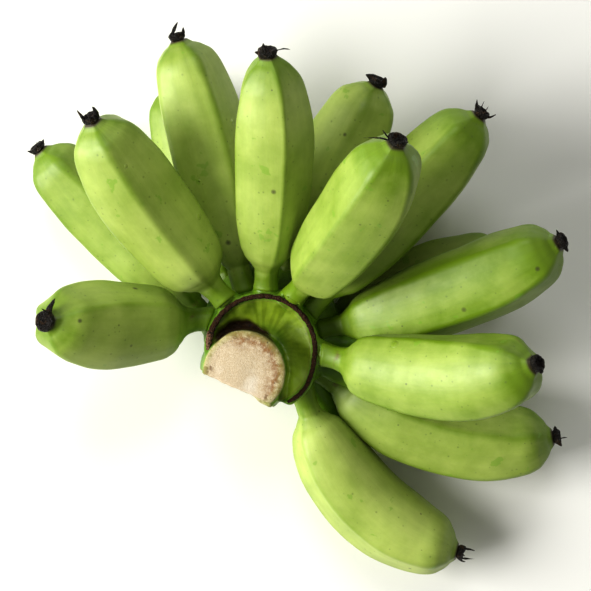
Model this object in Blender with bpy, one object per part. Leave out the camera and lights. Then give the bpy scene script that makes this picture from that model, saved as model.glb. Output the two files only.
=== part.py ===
"""A hand of short green bananas, lying on the backs of its fingers with the cut stalk upwards.

The hand is one crown, split from the plant's stalk, with two rows of fingers grown on its outer
side. Every finger ends in the dried remains of its flower. A dry brown rim, left by the leaf that
once covered the hand, runs round the crown between the stalk and the fingers.

Run it with: blender --background --python part.py
"""

import math
from typing import NamedTuple

import bmesh
import bpy
from mathutils import Matrix, Vector

MM = 0.001
GAP = 0.4  # mm between pieces that touch, so that their meshes stay apart

# The crown, in mm, measured from the axis of the ring that the fingers grow on.
CROWN_RADIUS = 29.5
CROWN_TOP = 55.0
CROWN_BOTTOM = 3.0
STALK_RADIUS = 20.5
STALK_TOP = 70.0
STALK_BOTTOM = 1.0
STALK_CENTRE = Vector((-9.0, -10.9, 0.0))
SPLIT_BEARING = 246.0  # degrees: the way that the split face of the stalk looks
SPLIT_DEPTH = 9.0  # from the stalk's centre to its split face
RIM_START, RIM_END = -58.0, 174.0  # bearings of the two ends of the dry rim
RIM_WIDTH = 2.8
RIM_HEIGHT = 2.4

# A finger, in mm.
ROOT_GAP = 0.8  # mm from the crown's round wall to the flat end of a pedicel
PEDICEL_RADIUS = 5.6
PEDICEL_LENGTH = 13.0
FLARE, FLARE_LENGTH = 1.2, 7.0  # how much wider the pedicel is where it joins the crown
SWELL_LENGTH = 56.0  # from the pedicel to where a finger is widest
TAPER_LENGTH = 38.0
SCAR_RADIUS = 4.6
FLOWER_END_RADIUS = 3.0  # of its outer end
FLOWER_END_LENGTH = 4.5
RIDGES = 5
STEPS_PER_FACET = 3
ANGULARITY = 0.55  # 0 is a round section, 1 is a flat-sided one


class Finger(NamedTuple):
    """One banana, from the crown to its flower end. Lengths are in mm, angles in degrees."""

    root_bearing: float  # round the crown, anticlockwise from +X
    root_height: float
    tip: tuple  # x, y and z, from the crown's axis
    bow: float  # how far its middle stands off the straight line from root to tip
    bow_turn: float  # 0 bows straight down, 90 to the right of a person looking along it
    lean: float  # moves the bow towards the tip (to 1) or towards the root (to -1)
    girth: float  # its width across the ridges, where it is widest
    shoulder: float  # length of the blunt shoulder behind the pedicel
    roll: float  # where its first ridge runs, from the top to the right, looking along it


FINGERS = {
    # the upper row, anticlockwise from the front
    "upper_01": Finger(-47, 33.5, (102, -109, 23), 20, 65, 0.2, 42, 28, -45),
    "upper_02": Finger(-21, 24, (151, -46, 25), 18, 62, 0.1, 42, 32, -11),
    "upper_03": Finger(-4, 51, (130, -6, 118), 12.5, 48, 0.2, 43, 14, -51),
    "upper_04": Finger(17, 34.5, (146, 52, 80), 8, 45, 0.1, 41, 29, 40),
    "upper_05": Finger(39, 42.5, (108, 116, 74), 5, 0, 0, 40, 35, -17),
    "upper_06": Finger(59.5, 53, (63, 97, 144), 5, 76, 0.3, 41.7, 18, -19),
    "upper_07": Finger(86.5, 50, (2, 139, 119.5), 2.5, 60, 0.5, 42, 22, 19),
    "upper_08": Finger(107.5, 40, (-43, 154, 67), 3, 0, 0, 39.5, 44, 27),
    "upper_09": Finger(126.5, 52, (-81, 110, 106), 6, -40, 0, 41, 14, -2),
    "upper_10": Finger(149.5, 42, (-104, 16, 92), 13, -10, 0.2, 45, 11, 26),
    # the lower row, which the upper one hides in part
    "lower_01": Finger(24, 12.5, (129, 47, 21), 4, -20, 0, 34, 38, 0),
    "lower_02": Finger(45, 22, (90, 104, 19), 7.2, 0, 0, 34, 38, 10),
    "lower_03": Finger(77, 27, (57, 133, 59), 5, -20, 0, 38.5, 44, 12),
    "lower_04": Finger(122, 20, (-49, 138, 21), 6, 0, 0, 36, 34, -20),
    "lower_05": Finger(156, 19, (-114, 104, 29), 8.5, 0, 0, 38, 30, 14),
}

SKIN = ("banana_skin", (0.42, 0.62, 0.14), 0.42)
CROWN_SKIN = ("crown_skin", (0.33, 0.47, 0.10), 0.5)
DRY_RIM = ("dry_rim", (0.09, 0.045, 0.03), 0.85)
DRY_FLOWER = ("dry_flower", (0.03, 0.022, 0.018), 0.8)


def clear_scene():
    for obj in list(bpy.data.objects):
        bpy.data.objects.remove(obj)


def material(name, colour, roughness):
    """A Principled material, made once and then shared."""
    if name in bpy.data.materials:
        return bpy.data.materials[name]
    made = bpy.data.materials.new(name)
    made.use_nodes = True
    shader = made.node_tree.nodes["Principled BSDF"]
    shader.inputs["Base Color"].default_value = (*colour, 1)
    shader.inputs["Roughness"].default_value = roughness
    return made


def add_object(name, bm, finish):
    """Turns a bmesh in mm into a smooth-shaded object in metres."""
    bmesh.ops.recalc_face_normals(bm, faces=bm.faces)
    bmesh.ops.scale(bm, vec=(MM, MM, MM), verts=bm.verts)
    mesh = bpy.data.meshes.new(name)
    bm.to_mesh(mesh)
    bm.free()
    mesh.shade_smooth()
    mesh.set_sharp_from_angle(angle=math.radians(50))
    mesh.materials.append(material(*finish))
    obj = bpy.data.objects.new(name, mesh)
    bpy.context.collection.objects.link(obj)
    return obj


def from_bearing(bearing, radius=1.0, height=0.0):
    turn = math.radians(bearing)
    return Vector((radius * math.cos(turn), radius * math.sin(turn), height))


# ---------------------------------------------------------------- fingers


def centreline(finger, count=160):
    """Evenly spaced points from the crown's wall to the flower end, along one smooth bow."""
    root = from_bearing(finger.root_bearing, CROWN_RADIUS + ROOT_GAP, finger.root_height)
    tip = Vector(finger.tip)
    chord = tip - root
    right = chord.cross(Vector((0, 0, 1))).normalized()
    down = chord.cross(right).normalized()
    turn = math.radians(finger.bow_turn)
    reach = (4 / 3) * finger.bow * (math.cos(turn) * down + math.sin(turn) * right)
    early, late = (1 - finger.lean) * reach, (1 + finger.lean) * reach
    corners = (root, root + chord / 3 + early, root + chord * 2 / 3 + late, tip)
    fine = []
    for i in range(4 * count + 1):
        t = i / (4 * count)
        weights = ((1 - t) ** 3, 3 * t * (1 - t) ** 2, 3 * t * t * (1 - t), t**3)
        fine.append(sum((w * c for w, c in zip(weights, corners)), Vector()))
    lengths = [0.0]
    for before, after in zip(fine, fine[1:]):
        lengths.append(lengths[-1] + (after - before).length)
    return fine, lengths


def along(line, distance):
    """The point and the direction at a distance along a centreline."""
    points, lengths = line
    i = next((k for k in range(1, len(lengths)) if lengths[k] >= distance), len(lengths) - 1)
    share = (distance - lengths[i - 1]) / (lengths[i] - lengths[i - 1])
    direction = (points[i] - points[i - 1]).normalized()
    return points[i - 1].lerp(points[i], share), direction


def stations(length, shoulder):
    """Distances from the root at which a finger's outline is set, close together at both ends."""
    swell = [PEDICEL_LENGTH + shoulder * share for share in (0.0, 0.2, 0.5, 1.0)]
    taper = [length - back for back in (38.0, 26.0, 16.0, 8.0, 3.0, 0.0)]
    spread = [swell[-1] + (taper[0] - swell[-1]) * share for share in (0.22, 0.5, 0.77)]
    return [0.0, 4.0, 8.5, *swell, *spread, *taper]


def ease(share):
    """Rises from 0 to 1 and flattens out as it gets there."""
    return 1 - (1 - min(1.0, max(0.0, share))) ** 2


def half_width(distance, length, finger):
    """The finger's radius: a thin pedicel, a blunt shoulder, a slow swell and a blunt taper."""
    full = finger.girth / 2
    flare = FLARE * (1 - ease(distance / FLARE_LENGTH))
    beyond = distance - PEDICEL_LENGTH
    grown = (ease(beyond / finger.shoulder) + ease(beyond / SWELL_LENGTH)) / 2
    body = PEDICEL_RADIUS + (full - PEDICEL_RADIUS) * grown
    narrowed = ease((length - distance) / TAPER_LENGTH)
    return min(body, SCAR_RADIUS + (full - SCAR_RADIUS) * narrowed) + flare


def ridge_angles(finger, number):
    """Where the ridges run, in radians: nearly even, and a little different on each finger."""
    even = 360 / RIDGES
    uneven = 8.0 * math.cos(number)
    return [
        math.radians(finger.roll + even * i + uneven * math.sin(2.4 * i)) for i in range(RIDGES)
    ]


def section(angles, angular):
    """(angle, radius) pairs of a cross-section whose sides bulge between its ridges."""
    pairs = []
    for i, ridge in enumerate(angles):
        following = angles[(i + 1) % RIDGES] + (2 * math.pi if i == RIDGES - 1 else 0)
        middle, half = (ridge + following) / 2, (following - ridge) / 2
        for step in range(STEPS_PER_FACET):
            angle = ridge + 2 * half * step / STEPS_PER_FACET
            flat = math.cos(half) / math.cos(angle - middle)
            pairs.append((angle, 1 + angular * (flat - 1)))
    return pairs


def onto_crown(point, direction):
    """Slides a point along the pedicel until it is one gap short of the crown's wall."""
    flat = Vector((direction.x, direction.y))
    spot = Vector((point.x, point.y))
    a, b = flat.dot(flat), spot.dot(flat)
    c = spot.dot(spot) - (CROWN_RADIUS + ROOT_GAP) ** 2
    return point + direction * ((-b + math.sqrt(max(0.0, b * b - a * c))) / a)


def build_finger(name, finger, number):
    line = centreline(finger)
    length = line[1][-1]
    angles = ridge_angles(finger, number)
    bm = bmesh.new()
    rings = []
    side = Vector((0, 0, 1))
    for distance in stations(length, finger.shoulder):
        centre, ahead = along(line, distance)
        side = (side - side.dot(ahead) * ahead).normalized()
        across = ahead.cross(side)
        radius = half_width(distance, length, finger)
        swollen = min(1.0, max(0.0, (distance - PEDICEL_LENGTH + 6) / 12))
        ring = []
        for angle, share in section(angles, ANGULARITY * (0.35 + 0.65 * swollen)):
            offset = radius * share * (math.cos(angle) * side + math.sin(angle) * across)
            spot = centre + offset
            ring.append(bm.verts.new(onto_crown(spot, ahead) if distance == 0 else spot))
        rings.append(ring)
    for before, after in zip(rings, rings[1:]):
        edges = [ring_edge(bm, ring, i) for ring in (before, after) for i in range(len(ring))]
        bmesh.ops.bridge_loops(bm, edges=edges)
    root_centre = onto_crown(line[0][0], along(line, 0)[1])
    for ring, centre in ((rings[0], root_centre), (rings[-1], line[0][-1])):
        face = bm.faces.new(ring)
        hub = bmesh.ops.poke(bm, faces=[face])["verts"][0]
        hub.co = centre
    bmesh.ops.triangulate(bm, faces=bm.faces)
    return add_object(f"banana_{name}", bm, SKIN)


def ring_edge(bm, ring, i):
    ends = (ring[i], ring[(i + 1) % len(ring)])
    return bm.edges.get(ends) or bm.edges.new(ends)


def build_flower_end(name, finger):
    """The shrivelled black remains of the flower, a short stub on the finger's scar."""
    line = centreline(finger)
    length = line[1][-1]
    centre, ahead = along(line, length)
    turn = Vector((0, 0, 1)).rotation_difference(ahead).to_matrix().to_4x4()
    bm = bmesh.new()
    bmesh.ops.create_cone(
        bm,
        cap_ends=True,
        segments=9,
        radius1=SCAR_RADIUS + 0.2,
        radius2=FLOWER_END_RADIUS,
        depth=FLOWER_END_LENGTH,
    )
    bmesh.ops.translate(bm, verts=bm.verts, vec=(0, 0, FLOWER_END_LENGTH / 2 + GAP))
    bmesh.ops.transform(bm, matrix=Matrix.Translation(centre) @ turn, verts=bm.verts)
    return add_object(f"flower_end_{name}", bm, DRY_FLOWER)


# ---------------------------------------------------------------- crown


def revolve(profile, segments):
    """A closed solid of revolution about +Z from (radius, height) points, bottom axis point first."""
    bm = bmesh.new()
    verts = [bm.verts.new((radius, 0, height)) for radius, height in profile]
    edges = [bm.edges.new(pair) for pair in zip(verts, verts[1:])]
    bmesh.ops.spin(
        bm,
        geom=verts + edges,
        cent=(0, 0, 0),
        axis=(0, 0, 1),
        angle=2 * math.pi,
        steps=segments,
        use_merge=True,
    )
    bmesh.ops.remove_doubles(bm, verts=bm.verts, dist=1e-4)
    return bm


def cut_flat(bm, point, outward):
    """Cuts off what lies beyond a plane, and closes the cut."""
    geometry = bm.verts[:] + bm.edges[:] + bm.faces[:]
    cut = bmesh.ops.bisect_plane(
        bm, geom=geometry, plane_co=point, plane_no=outward, clear_outer=True, dist=1e-4
    )
    edges = [part for part in cut["geom_cut"] if isinstance(part, bmesh.types.BMEdge)]
    bmesh.ops.holes_fill(bm, edges=edges)


def build_crown():
    """The split stalk, standing in the bowl-shaped crown that carries the fingers."""
    split = from_bearing(SPLIT_BEARING)
    collar = revolve(
        [
            (0.0, CROWN_BOTTOM),
            (17.0, CROWN_BOTTOM),
            (24.0, CROWN_BOTTOM + 2),
            (CROWN_RADIUS - 1.2, CROWN_BOTTOM + 6),
            (CROWN_RADIUS, CROWN_BOTTOM + 11),
            (CROWN_RADIUS, CROWN_TOP - 1.5),
            (CROWN_RADIUS - 1.2, CROWN_TOP),
            (CROWN_RADIUS - 5.0, CROWN_TOP - 0.4),
            (19.0, CROWN_TOP - 4),
            (11.0, CROWN_TOP - 8),
            (0.0, CROWN_TOP - 9),
        ],
        36,
    )
    cut_flat(collar, STALK_CENTRE + split * (SPLIT_DEPTH - 4), split)
    stalk = revolve(
        [
            (0.0, STALK_BOTTOM),
            (STALK_RADIUS - 2, STALK_BOTTOM),
            (STALK_RADIUS + 1.5, CROWN_BOTTOM + 12),
            (STALK_RADIUS + 2.6, CROWN_TOP - 10),
            (STALK_RADIUS + 0.2, CROWN_TOP),
            (STALK_RADIUS, STALK_TOP - 1.0),
            (STALK_RADIUS - 0.8, STALK_TOP),
            (0.0, STALK_TOP + 0.6),
        ],
        32,
    )
    bmesh.ops.translate(stalk, verts=stalk.verts, vec=STALK_CENTRE)
    cut_flat(stalk, STALK_CENTRE + split * SPLIT_DEPTH, split)
    crown = add_object("crown_with_stalk", stalk, CROWN_SKIN)
    cutter = add_object("collar_to_join", collar, CROWN_SKIN)
    cutter.hide_render = True
    cutter.display_type = "WIRE"
    join = crown.modifiers.new("grown together", "BOOLEAN")
    join.operation = "UNION"
    join.solver = "EXACT"
    join.object = cutter
    return crown


def build_rim():
    """The dry, corky rim that lies on the top edge of the crown."""
    middle = CROWN_RADIUS - 1.0 - RIM_WIDTH / 2
    low, high = CROWN_TOP + GAP, CROWN_TOP + GAP + RIM_HEIGHT
    bm = bmesh.new()
    outline = [
        (middle - RIM_WIDTH / 2, low),
        (middle + RIM_WIDTH / 2, low),
        (middle + RIM_WIDTH / 2, high - 0.9),
        (middle + 0.5, high),
        (middle - 0.8, high - 0.2),
        (middle - RIM_WIDTH / 2, high - 1.2),
    ]
    face = bm.faces.new([bm.verts.new((radius, 0, height)) for radius, height in outline])
    bmesh.ops.rotate(
        bm, verts=bm.verts, matrix=Matrix.Rotation(math.radians(RIM_START), 3, "Z")
    )
    bmesh.ops.spin(
        bm,
        geom=[face],
        cent=(0, 0, 0),
        axis=(0, 0, 1),
        angle=math.radians(RIM_END - RIM_START),
        steps=34,
    )
    return add_object("dry_rim", bm, DRY_RIM)


# ---------------------------------------------------------------- the whole hand


def settle(objects):
    """Puts the origin on the table, under the middle of the hand."""
    spots = [vert.co for obj in objects for vert in obj.data.vertices]
    low = Vector(min(spot[i] for spot in spots) for i in range(3))
    high = Vector(max(spot[i] for spot in spots) for i in range(3))
    shift = Vector((-(low.x + high.x) / 2, -(low.y + high.y) / 2, -low.z))
    for obj in bpy.data.objects:
        obj.data.transform(Matrix.Translation(shift))


def main():
    clear_scene()
    made = [build_crown(), build_rim()]
    for number, (name, finger) in enumerate(FINGERS.items()):
        made.append(build_finger(name, finger, number))
        made.append(build_flower_end(name, finger))
    settle(made)


main()
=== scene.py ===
import math
from typing import NamedTuple

import bmesh
import bpy
import numpy as np
from mathutils import Matrix, Vector, noise


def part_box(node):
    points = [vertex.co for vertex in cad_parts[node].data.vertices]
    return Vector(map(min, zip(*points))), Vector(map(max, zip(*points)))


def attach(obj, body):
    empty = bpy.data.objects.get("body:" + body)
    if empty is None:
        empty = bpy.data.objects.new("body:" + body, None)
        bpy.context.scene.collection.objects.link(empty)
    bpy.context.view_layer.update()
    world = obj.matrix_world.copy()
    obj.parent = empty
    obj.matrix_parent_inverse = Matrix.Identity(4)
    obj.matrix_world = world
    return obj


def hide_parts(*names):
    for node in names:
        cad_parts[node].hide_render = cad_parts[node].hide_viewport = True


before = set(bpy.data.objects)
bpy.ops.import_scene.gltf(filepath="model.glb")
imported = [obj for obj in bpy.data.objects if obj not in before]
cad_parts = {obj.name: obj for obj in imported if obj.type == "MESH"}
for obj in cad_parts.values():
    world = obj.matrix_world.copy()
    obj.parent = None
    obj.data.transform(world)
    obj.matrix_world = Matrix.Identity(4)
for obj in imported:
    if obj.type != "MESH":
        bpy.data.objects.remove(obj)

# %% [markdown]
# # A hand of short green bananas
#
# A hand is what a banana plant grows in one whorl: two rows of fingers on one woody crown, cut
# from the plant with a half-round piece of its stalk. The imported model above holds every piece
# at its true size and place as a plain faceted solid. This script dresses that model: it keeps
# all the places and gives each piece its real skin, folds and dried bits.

MM = 0.001
noise.seed_set(1)  # noise_vector would otherwise differ from run to run
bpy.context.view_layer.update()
UP = Vector((0, 0, 1))
FINGERS = sorted(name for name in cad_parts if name.startswith("banana_"))


def from_bearing(bearing, radius=1.0, height=0.0):
    """A point or a direction at an angle in degrees, anticlockwise from +X."""
    turn = math.radians(bearing)
    return Vector((radius * math.cos(turn), radius * math.sin(turn), height))


def smooth_step(low, high, x):
    """0 below low, 1 above high, and an even rise between them."""
    t = np.clip((x - low) / (high - low), 0.0, 1.0)
    return t * t * (3 - 2 * t)


# %% [markdown]
# ## Where the crown stands
#
# The dry rim is a ring round the crown's axis, and it reaches its full radius both to the right
# and to the back, so its box tells where the axis is. Everything that is placed one by one below
# is measured from that axis, in millimetres.

# %% The crown's axis and heights
RIM_RADIUS = 28.5 * MM  # outer
STALK_OFFSET = Vector((-9.0, -10.9, 0)) * MM  # from the crown's axis to the stalk's
SPLIT_BEARING = 246  # degrees: the way that the split face of the stalk looks
SPLIT_DEPTH = 9.0 * MM  # from the stalk's axis to that face

rim_low, rim_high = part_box("dry_rim")
AXIS = Vector((rim_high.x - RIM_RADIUS, rim_high.y - RIM_RADIUS, 0))
CROWN_TOP = rim_low.z
STALK_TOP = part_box("crown_with_stalk")[1].z
STALK_AXIS = AXIS + STALK_OFFSET
SPLIT = from_bearing(SPLIT_BEARING)
print("crown axis", [round(x / MM, 1) for x in AXIS], "stalk top", round(STALK_TOP / MM, 1), "mm")

# %% [markdown]
# ## Camera, light and floor
#
# The camera looks straight down, a little under a metre above the table, and stands a bit
# behind the crown so that the whole fan of fingers fits. A wide soft lamp stands two metres off
# to the left and 1.4 m up, because ridged skin only shows its facets when one side of each ridge
# is in shade. A pale sky fills that shade, and a weak lamp behind the hand and above it gives the
# waxy skin a second highlight. Gamma and exposure are set too.

# %% Camera
CAMERA_PLACE = Vector((17.2, 27.4, 900.0)) * MM  # from the crown's axis
CAMERA_LENS = 100.9  # mm of focal length

camera = bpy.data.objects.new("Camera", bpy.data.cameras.new("Camera"))
camera.location = AXIS + CAMERA_PLACE
camera.data.lens = CAMERA_LENS
camera.data.clip_start, camera.data.clip_end = 0.05, 20
bpy.context.scene.collection.objects.link(camera)
bpy.context.scene.camera = camera
print("the camera is", round(camera.location.z, 2), "m up")

# %% Lamps and sky
AIM = Vector((0, 0, 0.05))  # the middle of the hand, in metres
SKY_COLOUR, SKY_STRENGTH = (1.0, 0.99, 0.87, 1), 0.22
VIEW_GAMMA, VIEW_EXPOSURE = 0.84, 0.18


def soft_lamp(name, place, size, power, colour=(1, 1, 1)):
    """A square area lamp that looks at the middle of the hand. Lengths are in metres."""
    data = bpy.data.lights.new(name, "AREA")
    data.shape, data.size, data.energy, data.color = "SQUARE", size, power, colour
    lamp = bpy.data.objects.new(name, data)
    lamp.location = place
    lamp.rotation_euler = (AIM - Vector(place)).to_track_quat("-Z", "Y").to_euler()
    bpy.context.scene.collection.objects.link(lamp)


soft_lamp("key_lamp", (-2.12, -0.14, 1.40), 1.5, 98.0, (1.0, 0.985, 0.94))
soft_lamp("fill_lamp", (-0.1, 1.3, 1.6), 0.8, 11.0)

world = bpy.data.worlds.new("studio")
world.use_nodes = True
sky = world.node_tree.nodes["Background"].inputs
sky["Color"].default_value = SKY_COLOUR
sky["Strength"].default_value = SKY_STRENGTH
bpy.context.scene.world = world
view = bpy.context.scene.view_settings
view.view_transform = "Standard"
view.gamma, view.exposure = VIEW_GAMMA, VIEW_EXPOSURE

# %% Floor
FLOOR_HALF = 4  # metres
FLOOR_DROP = 0.3 * MM  # below the lowest skin, so that nothing shares its plane
FLOOR_GREY, FLOOR_ROUGHNESS = (0.86, 0.86, 0.85, 1), 0.9

floor_mesh = bpy.data.meshes.new("floor")
bm = bmesh.new()
bmesh.ops.create_grid(bm, x_segments=1, y_segments=1, size=FLOOR_HALF)
bmesh.ops.translate(bm, verts=bm.verts, vec=(0, 0, -FLOOR_DROP))
bm.to_mesh(floor_mesh)
bm.free()
floor = bpy.data.objects.new("floor", floor_mesh)
bpy.context.scene.collection.objects.link(floor)
paint = bpy.data.materials.new("pale_floor")
paint.use_nodes = True
coat = paint.node_tree.nodes["Principled BSDF"].inputs
coat["Base Color"].default_value = FLOOR_GREY
coat["Roughness"].default_value = FLOOR_ROUGHNESS
floor_mesh.materials.append(paint)

# %% [markdown]
# ## A small kit for materials
#
# Every finish here is a net of nodes. Three effects turn up in more than one finish, so each is
# made once as a node group: sparse specks, torn or damp patches, and crumbly dry tissue. A group
# only puts out a mask or a height. The shader itself stays in each material.


# %% Node helpers
def add(tree, kind, values=None, **settings):
    """Adds a node, sets its properties, and fills or links its inputs."""
    made = tree.nodes.new(kind)
    for key, value in settings.items():
        setattr(made, key, value)
    for key, value in (values or {}).items():
        if isinstance(value, bpy.types.NodeSocket):
            tree.links.new(value, made.inputs[key])
        else:
            made.inputs[key].default_value = value
    return made


def maths(tree, operation, *values, clamp=False):
    inputs = dict(enumerate(values))
    return add(tree, "ShaderNodeMath", inputs, operation=operation, use_clamp=clamp).outputs[0]


def times(tree, first, second):
    return maths(tree, "MULTIPLY", first, second)


def plus(tree, base, weight, value, clamp=False):
    """base + weight x value."""
    return maths(tree, "MULTIPLY_ADD", value, weight, base, clamp=clamp)


def ramp(tree, value, *stops):
    """A colour ramp through (position, colour) stops. A plain number stands for a grey."""
    made = add(tree, "ShaderNodeValToRGB", {0: value})
    elements = made.color_ramp.elements
    while len(elements) < len(stops):
        elements.new(0.5)
    for element, (position, colour) in zip(elements, stops):
        grey = isinstance(colour, (int, float))
        element.position = position
        element.color = (colour, colour, colour, 1) if grey else (*colour, 1)
    return made.outputs[0]


def blend(tree, share, first, second, kind="MIX"):
    """Mixes two colours. Each is a socket or an (r, g, b)."""
    made = add(tree, "ShaderNodeMix", data_type="RGBA", blend_type=kind)
    for number, value in ((0, share), (6, first), (7, second)):
        if isinstance(value, bpy.types.NodeSocket):
            tree.links.new(value, made.inputs[number])
        else:
            plain = (*value, 1) if isinstance(value, tuple) else value
            made.inputs[number].default_value = plain
    return made.outputs[2]


def attribute(tree, name):
    return add(tree, "ShaderNodeAttribute", attribute_name=name).outputs["Fac"]


def object_place(tree):
    return add(tree, "ShaderNodeTexCoord").outputs["Object"]


def grain(tree, place, scale, detail=2.0, rough=0.5):
    values = {"Vector": place, "Scale": scale, "Detail": detail, "Roughness": rough}
    return add(tree, "ShaderNodeTexNoise", values).outputs[0]


def new_group(name, inputs, output):
    """An empty node group with float or vector inputs and one float output."""
    tree = bpy.data.node_groups.new(name, "ShaderNodeTree")
    for label, kind, value in inputs:
        socket = tree.interface.new_socket(label, in_out="INPUT", socket_type=kind)
        if value is not None:
            socket.default_value = value
    tree.interface.new_socket(output, in_out="OUTPUT", socket_type="NodeSocketFloat")
    return tree, tree.nodes.new("NodeGroupInput").outputs, tree.nodes.new("NodeGroupOutput").inputs


def use(tree, group, **values):
    """Places a group. An input's name is written with _ for each space."""
    made = add(tree, "ShaderNodeGroup", node_tree=group)
    for key, value in values.items():
        socket = made.inputs[key.replace("_", " ")]
        if isinstance(value, bpy.types.NodeSocket):
            tree.links.new(value, socket)
        else:
            socket.default_value = value
    return made.outputs[0]


FLOAT, VECTOR = "NodeSocketFloat", "NodeSocketVector"

# %% [markdown]
# ### Specks
#
# Scattered points on the skin: breathing pores, insect marks and dirt. A Voronoi pattern gives
# cells of even spacing. Only the cells whose random number is high keep a dot, so the dots are
# sparse and their spacing looks natural.

# %% The specks group
SPECKS, given, out = new_group(
    "specks",
    [("Place", VECTOR, None), ("Cells", FLOAT, 400.0), ("Share", FLOAT, 0.2), ("Size", FLOAT, 0.2)],
    "Mask",
)
cells = add(SPECKS, "ShaderNodeTexVoronoi", {"Vector": given["Place"], "Scale": given["Cells"]})
parts = add(SPECKS, "ShaderNodeSeparateColor", {0: cells.outputs["Color"]}).outputs
rarity = maths(SPECKS, "SUBTRACT", 1.0, given["Share"])
kept = maths(SPECKS, "GREATER_THAN", parts[0], rarity)
reach = times(SPECKS, given["Size"], plus(SPECKS, 0.4, 0.8, parts[1]))
inward = maths(SPECKS, "DIVIDE", cells.outputs["Distance"], reach)
dot = maths(SPECKS, "SUBTRACT", 1.0, inward, clamp=True)
SPECKS.links.new(times(SPECKS, kept, maths(SPECKS, "POWER", dot, 0.6)), out[0])
print("specks group:", len(SPECKS.nodes), "nodes")

# %% [markdown]
# ### Patches
#
# Damp films, scuffs and stains have an irregular edge. A wobbly noise is cut at a level: a high
# cut leaves a few islands, a low one leaves a few holes.

# %% The patches group
PATCHES, given, out = new_group(
    "patches",
    [("Place", VECTOR, None), ("Scale", FLOAT, 60.0), ("Cut", FLOAT, 0.6), ("Edge", FLOAT, 0.02)],
    "Mask",
)
cloud = grain(PATCHES, given["Place"], given["Scale"], 3.0, 0.55)
over = maths(PATCHES, "SUBTRACT", cloud, given["Cut"])
PATCHES.links.new(maths(PATCHES, "DIVIDE", over, given["Edge"], clamp=True), out[0])
print("patches group:", len(PATCHES.nodes), "nodes")

# %% [markdown]
# ### Crumbly tissue
#
# The rim, the dried flowers and the cut stalk are dead plant tissue: corky lumps with cracks
# between them. Distance to the edge of Voronoi cells gives the cracks, and noise gives the lumps.

# %% The crumble group
CRUMBLE, given, out = new_group(
    "crumble",
    [("Place", VECTOR, None), ("Scale", FLOAT, 600.0), ("Cracks", FLOAT, 0.5)],
    "Height",
)
lumps = grain(CRUMBLE, given["Place"], given["Scale"], 4.0, 0.6)
cells = {"Vector": given["Place"], "Scale": given["Scale"]}
border = add(CRUMBLE, "ShaderNodeTexVoronoi", cells, feature="DISTANCE_TO_EDGE").outputs[0]
plates = times(CRUMBLE, maths(CRUMBLE, "MULTIPLY", border, 4.0, clamp=True), given["Cracks"])
CRUMBLE.links.new(maths(CRUMBLE, "ADD", lumps, plates), out[0])
print("crumble group:", len(CRUMBLE.nodes), "nodes")

# %% [markdown]
# ## The banana skin
#
# Unripe skin is a waxy yellow-green. It is palest in the middle of each flat side and greener
# along the ridges, at the thin stem and near the tip. Fine fibres run along the finger. The
# pattern follows four numbers that the mesh will carry: how far a spot is from the root, how far
# from the tip, how near a ridge, and one tone for the whole finger, which is partly painted light
# and shade. A UV map unrolls the finger for the fibres. All the dyes below are linear red, green
# and blue.


# %% Joining a finish to its shader
def shader_of(material):
    material.use_nodes = True
    tree = material.node_tree
    return tree, tree.nodes["Principled BSDF"]


def connect(tree, bsdf, colour, roughness, height, distance):
    """Joins a finish to its shader. The height is in units of distance, in metres."""
    bump = add(tree, "ShaderNodeBump", {"Height": height, "Distance": distance, "Strength": 1.0})
    finish = {"Base Color": colour, "Roughness": roughness, "Normal": bump.outputs[0]}
    for name, value in finish.items():
        tree.links.new(value, bsdf.inputs[name])


# %% [markdown]
# ### Greens and marks
#
# The green is one mix of a pale and a deep dye, and several slow patterns add up to its share.
# Marks are laid over it one by one, so a later mark covers an earlier one.

# %% The skin's greens
PALE_GREEN = (0.52, 0.62, 0.160)
DEEP_GREEN = (0.175, 0.29, 0.003)
FIBRE_GREEN = (0.20, 0.33, 0.03)


def skin_greens(tree, place, stretched, drift, fibres):
    """The skin without its marks."""
    root, tip, ridge = (attribute(tree, n) for n in ("from_root", "from_tip", "ridge"))
    bands = grain(tree, stretched, 60.0, 2.0, 0.5)
    mottle = ramp(tree, grain(tree, place, 62.0, 4.0, 0.62), (0.36, 0.0), (0.64, 1.0))
    share = plus(tree, plus(tree, plus(tree, -0.39, 0.9, drift), 0.5, bands), 0.27, mottle)
    # each finger's tone, partly painted light and shade: above 0 makes the skin paler
    share = maths(tree, "SUBTRACT", share, attribute(tree, "tone_and_painted_light"))
    share = plus(tree, share, ramp(tree, ridge, (0.0, 0.0), (0.8, 0.10), (1.0, 0.36)), ridge)
    stem_end = ramp(tree, root, (0.06, 0.75), (0.22, 0.0))
    flower_end = ramp(tree, tip, (0.02, 0.5), (0.2, 0.0))
    ends = maths(tree, "ADD", stem_end, flower_end)
    share = maths(tree, "ADD", share, ends, clamp=True)
    colour = blend(tree, share, PALE_GREEN, DEEP_GREEN)
    return blend(tree, times(tree, fibres, 0.30), colour, FIBRE_GREEN, "MULTIPLY")


# %% The skin's marks
DAMP_GREEN = (0.17, 0.36, 0.02)
SCUFF_BROWN = (0.20, 0.13, 0.03)
PORE_GREEN = (0.08, 0.13, 0.015)
DOT_BROWN = (0.05, 0.05, 0.012)
SPOT_BROWN = (0.035, 0.028, 0.010)
CREASE_BROWN = (0.13, 0.075, 0.015)
SCORCH_BROWN = (0.045, 0.030, 0.010)


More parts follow.
